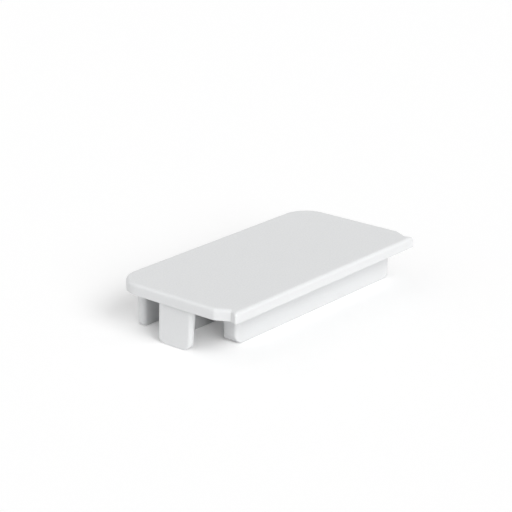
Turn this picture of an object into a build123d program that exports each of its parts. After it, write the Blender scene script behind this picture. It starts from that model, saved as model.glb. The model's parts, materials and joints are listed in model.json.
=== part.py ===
from build123d import *
import math
import os

# An injection-moulded end cap for an extruded profile, in one piece: a cover plate over a
# drafted plug. Millimetres, +Z up. The origin is the centre of the footprint, level with the
# tips of the plug, so the cap lies plug down. +X runs along the cover, the lip faces -Y.

# Cover plate
cover_length = 50.0
cover_width = 26.0
cover_thickness = 2.0
back_corner_radius = 4.9
top_edge_radius = 0.55
under_edge_radius = 0.2

# Lip along the front edge: behind each of its ends a nick, and behind the nick a shoulder
lip_end_inset = 0.65
lip_corner_radius = 0.3
nick_inset = 1.35
nick_setback = 1.5
nick_radius = 0.2
shoulder_setback = 4.0
shoulder_radius = 1.0

# What all legs of the plug share. A leg's uprights are its edges from root to tip, and its
# corners are the two lower ones of its long sides. The rim of the tip is only broken, and the
# rounding of one upright takes less than half of the leg's thickness.
plug_depth = 7.0
draft_angle = 1.0
tip_rim_radius = 0.2
root_radius = 0.3
largest_upright_share = 0.48

# Front wall: the thick one behind the lip
front_wall_thickness = 3.3
front_wall_setback = 5.4
front_wall_left_inset = 7.2
front_wall_right_inset = 0.35
front_wall_upright_radius = 0.6
front_wall_corner_radius = 1.7

# Back wall: thin, with nearly half-round ends
back_wall_thickness = 2.0
back_wall_setback = 1.5
back_wall_end_inset = 3.45
back_wall_upright_radius = 0.85
back_wall_corner_radius = 0.8

# Web: stiffens the cover midway between the walls
web_thickness = 1.1
web_end_inset = 3.2
web_upright_radius = 0.4
web_corner_radius = 0.8

# Spring tabs: one in the middle of each short side, leaning outwards to grip the profile.
# Each is as wide as its gap to the front wall leaves room for.
tab_wall_gap = 0.65
tab_thickness = 1.55
tab_root_inset = 0.6
tab_lean_angle = 4.25
tab_upright_radius = 0.65
tab_corner_radius = 1.7

# Values that follow from the sizes above
half_length = cover_length / 2
half_width = cover_width / 2
tab_width = 2 * (half_width - front_wall_setback - front_wall_thickness - tab_wall_gap)
tolerance = 0.01


def cover_outline():
    """Outline of the cover, the same at both short sides."""
    corners = [
        (half_length, half_width, back_corner_radius),
        (half_length, shoulder_setback - half_width, shoulder_radius),
        (half_length - nick_inset, nick_setback - half_width, nick_radius),
        (half_length - lip_end_inset, -half_width, lip_corner_radius),
    ]
    right_side = [(x, y) for x, y, _ in corners]
    left_side = [(-x, y) for x, y in reversed(right_side)]
    outline = make_face(Polyline(*right_side, *left_side, close=True))
    for x, y, radius in corners:
        pair = [
            vertex
            for vertex in outline.vertices()
            if math.hypot(abs(vertex.X) - x, vertex.Y - y) < tolerance
        ]
        outline = fillet(pair, radius)
    return outline


def cover_plate():
    """The cover, with a softened upper edge and a broken lower edge."""
    plate = extrude(Plane.XY.offset(plug_depth) * cover_outline(), cover_thickness)
    plate = fillet(plate.faces().sort_by(Axis.Z)[-1].edges(), top_edge_radius)
    return fillet(plate.faces().sort_by(Axis.Z)[0].edges(), under_edge_radius)


def plug_leg(length, thickness, upright_radius, corner_radius, lean_angle=0.0):
    """A drafted leg along X, its root centred under the cover's middle, leaning towards +Y."""
    root = Plane((0, 0, plug_depth), z_dir=(0, 0, -1))
    block = Pos(0, 0, plug_depth / 2) * Box(length, thickness, plug_depth)
    block = draft(block.faces().filter_by(Axis.X), root, draft_angle)
    block = draft(block.faces().sort_by(Axis.Y)[0], root, draft_angle + lean_angle)
    block = draft(block.faces().sort_by(Axis.Y)[-1], root, draft_angle - lean_angle)
    tip_ends = block.faces().sort_by(Axis.Z)[0].edges().filter_by(Axis.Y)
    largest_radius = largest_upright_share * tip_ends[0].length
    uprights = [edge for edge in block.edges() if edge.bounding_box().size.Z > tolerance]
    round_uprights = fillet(uprights, min(upright_radius, largest_radius))
    round_tip = fillet(tip_ends, corner_radius)
    tip_sides = round_tip.faces().sort_by(Axis.Z)[0].edges().filter_by(Axis.X)
    return round_uprights & fillet(tip_sides, tip_rim_radius)


def wall(left_inset, right_inset, setback, thickness, upright_radius, corner_radius):
    """A leg along the cover, given by how far its root lies in from the cover's sides."""
    length = cover_length - left_inset - right_inset
    middle = Pos((left_inset - right_inset) / 2, setback - half_width + thickness / 2)
    return middle * plug_leg(length, thickness, upright_radius, corner_radius)


def front_wall():
    """The thick wall behind the lip."""
    return wall(
        front_wall_left_inset,
        front_wall_right_inset,
        front_wall_setback,
        front_wall_thickness,
        front_wall_upright_radius,
        front_wall_corner_radius,
    )


def back_wall():
    """The thin wall along the back."""
    setback = cover_width - back_wall_setback - back_wall_thickness
    inset = back_wall_end_inset
    return wall(
        inset,
        inset,
        setback,
        back_wall_thickness,
        back_wall_upright_radius,
        back_wall_corner_radius,
    )


def web():
    """The web, midway between the faces of the two walls that look at each other."""
    front_face = front_wall_setback + front_wall_thickness
    back_face = cover_width - back_wall_setback - back_wall_thickness
    setback = (front_face + back_face - web_thickness) / 2
    inset = web_end_inset
    return wall(inset, inset, setback, web_thickness, web_upright_radius, web_corner_radius)


def spring_tabs():
    """The tab on the left and its twin on the right."""
    tab = plug_leg(
        tab_width, tab_thickness, tab_upright_radius, tab_corner_radius, tab_lean_angle
    )
    reach = half_length - tab_root_inset - tab_thickness / 2
    left = Pos(-reach) * Rot(0, 0, 90) * tab
    return [left, Rot(0, 0, 180) * left]


def end_cap():
    """The whole moulding, with the roots of the legs rounded into the cover."""
    legs = [front_wall(), back_wall(), web(), *spring_tabs()]
    cap = cover_plate().fuse(*legs)
    underside = cap.faces().filter_by(Axis.Z).filter_by_position(
        Axis.Z, plug_depth - tolerance, plug_depth + tolerance
    )
    roots = [edge for face in underside for wire in face.inner_wires() for edge in wire.edges()]
    return fillet(roots, root_radius)


os.makedirs("parts", exist_ok=True)
export_step(end_cap(), "parts/end_cap.step")
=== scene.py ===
import json
import math

import bmesh
import bpy
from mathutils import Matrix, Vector


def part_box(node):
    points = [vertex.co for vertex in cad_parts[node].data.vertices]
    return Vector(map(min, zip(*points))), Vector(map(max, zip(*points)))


# The end cap lies plug down on a sheet of white paper under soft light. Metres, +Z up, in the
# frame of the solid part: +X runs along the cover, the lip faces -Y.
MILLIMETRE = 0.001

# Plastic: linear colours of its darker and lighter grains, and how its surface is finished
DARK_GRAIN = (0.706, 0.714, 0.720, 1)
LIGHT_GRAIN = (0.762, 0.770, 0.776, 1)
PIT_SIZE = 0.28 * MILLIMETRE
FINE_GRAIN_SIZE = 0.2 * MILLIMETRE
SPECKLE_SIZE = 0.3 * MILLIMETRE
DRAW_MARK_WIDTH = 0.3 * MILLIMETRE
GLOSS_PATCH_SIZE = 1.6 * MILLIMETRE
FLOW_CLOUD_SIZE = 7 * MILLIMETRE
GRAIN_DEPTH = 0.03 * MILLIMETRE
GRAIN_OFF_SHOW_FACE = 0.3
EDGE_RADIUS = 0.45 * MILLIMETRE
EDGE_POLISH = 0.06
DRAWN_POLISH = 0.05

# Paper: linear colours of its fibres, and how much lighter it looks than it is lit
DARK_FIBRE = (0.925, 0.925, 0.925, 1)
LIGHT_FIBRE = (0.935, 0.935, 0.935, 1)
PAPER_FIBRE_SIZE = 0.6 * MILLIMETRE
PAPER_GLOW = 0.14
PAPER_HALF_WIDTH = 2.0


# ---------------------------------------------------------------- nodes and materials

def new_material(name):
    """An empty node material and its output node."""
    material = bpy.data.materials.new(name)
    material.use_nodes = True
    material.node_tree.nodes.clear()
    return material, material.node_tree.nodes.new("ShaderNodeOutputMaterial")


def noise(nodes, links, place, size, detail, label):
    """Soft noise in the object's own space, with features about the given size in metres."""
    texture = nodes.new("ShaderNodeTexNoise")
    texture.label = label
    texture.inputs["Scale"].default_value = 1 / size
    texture.inputs["Detail"].default_value = detail
    texture.inputs["Roughness"].default_value = 0.55
    links.new(place, texture.inputs["Vector"])
    return texture.outputs["Fac"]


def spread(nodes, links, value, from_low, from_high, to_low, to_high):
    """Maps a value from one range to another."""
    stage = nodes.new("ShaderNodeMapRange")
    links.new(value, stage.inputs["Value"])
    stage.inputs["From Min"].default_value = from_low
    stage.inputs["From Max"].default_value = from_high
    stage.inputs["To Min"].default_value = to_low
    stage.inputs["To Max"].default_value = to_high
    return stage.outputs["Result"]


def combine(nodes, links, operation, first, second):
    """Two values put together, where the second may be a plain number."""
    stage = nodes.new("ShaderNodeMath")
    stage.operation = operation
    links.new(first, stage.inputs[0])
    if isinstance(second, float):
        stage.inputs[1].default_value = second
    else:
        links.new(second, stage.inputs[1])
    return stage.outputs["Value"]


def edge_mask(nodes, links):
    """About 1 on the rounded edges and 0 on the flats."""
    bevel = nodes.new("ShaderNodeBevel")
    bevel.samples = 6
    bevel.inputs["Radius"].default_value = EDGE_RADIUS
    geometry = nodes.new("ShaderNodeNewGeometry")
    agreement = nodes.new("ShaderNodeVectorMath")
    agreement.operation = "DOT_PRODUCT"
    links.new(bevel.outputs["Normal"], agreement.inputs[0])
    links.new(geometry.outputs["Normal"], agreement.inputs[1])
    return spread(nodes, links, agreement.outputs["Value"], 0.995, 0.93, 0.0, 1.0)


def moulded_plastic(cover_underside, cover_top):
    """Satin white plastic from a spark-eroded mould.

    The grain is deepest on the cover's outer face, which shows. The plug's walls carry the faint
    marks of being drawn out of the mould. The edges are a little smoother than the flats.
    """
    material, output = new_material("moulded white plastic")
    nodes, links = material.node_tree.nodes, material.node_tree.links
    place = nodes.new("ShaderNodeTexCoord").outputs["Object"]
    height_above_tips = nodes.new("ShaderNodeSeparateXYZ")
    links.new(place, height_above_tips.inputs["Vector"])
    height_above_tips = height_above_tips.outputs["Z"]
    low, high = cover_underside - 0.1 * MILLIMETRE, cover_underside + 0.1 * MILLIMETRE
    plug = spread(nodes, links, height_above_tips, low, high, 1.0, 0.0)
    low, high = cover_top - 0.1 * MILLIMETRE, cover_top - 0.02 * MILLIMETRE
    show_face = spread(nodes, links, height_above_tips, low, high, GRAIN_OFF_SHOW_FACE, 1.0)
    edges = edge_mask(nodes, links)

    pits = nodes.new("ShaderNodeTexVoronoi")
    pits.label = "spark pits"
    pits.inputs["Scale"].default_value = 1 / PIT_SIZE
    links.new(place, pits.inputs["Vector"])
    fine = noise(nodes, links, place, FINE_GRAIN_SIZE, 2, "fine grain")
    grain = combine(nodes, links, "ADD", fine, pits.outputs["Distance"])
    grain = combine(nodes, links, "MULTIPLY", grain, show_face)

    stretch = nodes.new("ShaderNodeMapping")
    stretch.inputs["Scale"].default_value = (1, 1, 0.03)
    links.new(place, stretch.inputs["Vector"])
    streaks = noise(nodes, links, stretch.outputs["Vector"], DRAW_MARK_WIDTH, 2, "draw marks")
    streaks = combine(nodes, links, "MULTIPLY", streaks, plug)

    relief = combine(nodes, links, "MULTIPLY", streaks, 0.35)
    relief = combine(nodes, links, "ADD", grain, relief)
    bump = nodes.new("ShaderNodeBump")
    bump.inputs["Strength"].default_value = 0.35
    bump.inputs["Distance"].default_value = GRAIN_DEPTH
    links.new(relief, bump.inputs["Height"])

    clouds = noise(nodes, links, place, FLOW_CLOUD_SIZE, 3, "flow clouds")
    speckle = noise(nodes, links, place, SPECKLE_SIZE, 1, "speckle")
    speckle = spread(nodes, links, speckle, 0.25, 0.75, -1.5, 1.5)
    speckle = combine(nodes, links, "MULTIPLY", speckle, show_face)
    tint = combine(nodes, links, "ADD", combine(nodes, links, "MULTIPLY", clouds, 0.4), speckle)
    patches = noise(nodes, links, place, GLOSS_PATCH_SIZE, 3, "gloss patches")
    roughness = spread(nodes, links, patches, 0.3, 0.7, 0.37, 0.43)
    polish = combine(nodes, links, "MULTIPLY", edges, -EDGE_POLISH)
    roughness = combine(nodes, links, "ADD", roughness, polish)
    drawn = combine(nodes, links, "MULTIPLY", streaks, -DRAWN_POLISH)
    roughness = combine(nodes, links, "ADD", roughness, drawn)

    shade = nodes.new("ShaderNodeMix")
    shade.data_type = "RGBA"
    shade.inputs["A"].default_value = DARK_GRAIN
    shade.inputs["B"].default_value = LIGHT_GRAIN
    links.new(spread(nodes, links, tint, -1.3, 1.7, 0.0, 1.0), shade.inputs["Factor"])

    shader = nodes.new("ShaderNodeBsdfPrincipled")
    shader.inputs["IOR"].default_value = 1.5
    shader.inputs["Subsurface Weight"].default_value = 0.25
    shader.inputs["Subsurface Radius"].default_value = (1, 1, 1)
    shader.inputs["Subsurface Scale"].default_value = 1.2 * MILLIMETRE
    links.new(shade.outputs["Result"], shader.inputs["Base Color"])
    links.new(roughness, shader.inputs["Roughness"])
    links.new(bump.outputs["Normal"], shader.inputs["Normal"])
    links.new(shader.outputs["BSDF"], output.inputs["Surface"])
    return material


def seen_directly(nodes, links):
    """1 for what the camera sees, straight, in a gloss or through glass, otherwise 0."""
    path = nodes.new("ShaderNodeLightPath")
    camera, gloss = path.outputs["Is Camera Ray"], path.outputs["Is Glossy Ray"]
    glass = path.outputs["Is Transmission Ray"]
    seen = combine(nodes, links, "MAXIMUM", camera, gloss)
    return combine(nodes, links, "MAXIMUM", seen, glass)


def paper():
    """The white sheet under the cap, which looks a little lighter than it lights the cap."""
    material, output = new_material("white paper")
    nodes, links = material.node_tree.nodes, material.node_tree.links
    place = nodes.new("ShaderNodeTexCoord").outputs["Object"]
    fibres = noise(nodes, links, place, PAPER_FIBRE_SIZE, 2, "fibres")
    shade = nodes.new("ShaderNodeMix")
    shade.data_type = "RGBA"
    shade.inputs["A"].default_value = DARK_FIBRE
    shade.inputs["B"].default_value = LIGHT_FIBRE
    links.new(fibres, shade.inputs["Factor"])
    matt = nodes.new("ShaderNodeBsdfDiffuse")
    links.new(shade.outputs["Result"], matt.inputs["Color"])
    glow = nodes.new("ShaderNodeEmission")
    strength = combine(nodes, links, "MULTIPLY", seen_directly(nodes, links), PAPER_GLOW)
    links.new(strength, glow.inputs["Strength"])
    both = nodes.new("ShaderNodeAddShader")
    links.new(matt.outputs["BSDF"], both.inputs[0])
    links.new(glow.outputs["Emission"], both.inputs[1])
    links.new(both.outputs["Shader"], output.inputs["Surface"])
    return material


# ---------------------------------------------------------------- floor, light and camera

def lay_paper():
    """A wide flat sheet that the cap lies on."""
    sheet = bmesh.new()
    bmesh.ops.create_grid(sheet, x_segments=1, y_segments=1, size=PAPER_HALF_WIDTH)
    mesh = bpy.data.meshes.new("paper")
    sheet.to_mesh(mesh)
    sheet.free()
    mesh.materials.append(paper())
    floor = bpy.data.objects.new("paper", mesh)
    bpy.context.scene.collection.objects.link(floor)


def light_room(strength):
    """Even surroundings, which look white where the camera sees them."""
    world = bpy.data.worlds.new("white room")
    bpy.context.scene.world = world
    world.use_nodes = True
    nodes, links = world.node_tree.nodes, world.node_tree.links
    background = nodes["Background"]
    background.inputs["Color"].default_value = (1, 1, 1, 1)
    seen = seen_directly(nodes, links)
    links.new(spread(nodes, links, seen, 0.0, 1.0, strength, 1.0), background.inputs["Strength"])


def place_lamp(name, azimuth, elevation, share, width=30):
    """A broad far lamp in the given direction, measured in degrees from +X and up from the floor.

    A share of 1 would light a surface that faces the lamp as fully as the colour white needs.
    """
    lamp = bpy.data.lights.new(name, "SUN")
    lamp.energy = math.pi * share
    lamp.angle = math.radians(width)
    fixture = bpy.data.objects.new(name, lamp)
    across, up = math.radians(azimuth), math.radians(elevation)
    flat = math.cos(up)
    towards_lamp = Vector((math.cos(across) * flat, math.sin(across) * flat, math.sin(up)))
    fixture.rotation_euler = towards_lamp.to_track_quat("Z", "Y").to_euler()
    bpy.context.scene.collection.objects.link(fixture)


def place_camera():
    """A long lens, a little above the cap, that looks past its left front corner."""
    lens = bpy.data.cameras.new("camera")
    lens.sensor_width = 36
    lens.lens = 118.2
    camera = bpy.data.objects.new("camera", lens)
    camera.location = (-0.2096, -0.1724, 0.1056)
    camera.rotation_euler = (math.radians(70.4), 0, math.radians(-50.04))
    bpy.context.scene.collection.objects.link(camera)
    bpy.context.scene.camera = camera


# ---------------------------------------------------------------- the scene

def height_of_mount(record, name):
    """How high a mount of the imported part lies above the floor."""
    return next(mount["pos_m"][2] for mount in record["mounts"] if mount["name"] == name)


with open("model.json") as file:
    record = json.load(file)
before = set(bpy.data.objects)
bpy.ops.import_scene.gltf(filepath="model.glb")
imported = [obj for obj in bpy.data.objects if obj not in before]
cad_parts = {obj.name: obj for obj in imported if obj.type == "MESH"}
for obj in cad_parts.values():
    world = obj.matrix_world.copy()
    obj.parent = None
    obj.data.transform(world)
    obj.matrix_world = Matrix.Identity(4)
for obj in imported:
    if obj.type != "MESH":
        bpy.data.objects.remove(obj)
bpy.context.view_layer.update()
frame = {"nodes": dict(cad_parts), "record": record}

cap = frame["nodes"]["end_cap"]
cap.data.materials.clear()
cover_underside = height_of_mount(frame["record"], "seating_face")
cover_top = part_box("end_cap")[1][2]
cap.data.materials.append(moulded_plastic(cover_underside, cover_top))

lay_paper()
light_room(0.44)
place_lamp("key", 243, 25, 0.39)
place_lamp("front top", 262, 40, 0.33)
place_lamp("back left", 135, 40, 0.16, width=90)
place_camera()
bpy.context.scene.view_settings.view_transform = "Standard"
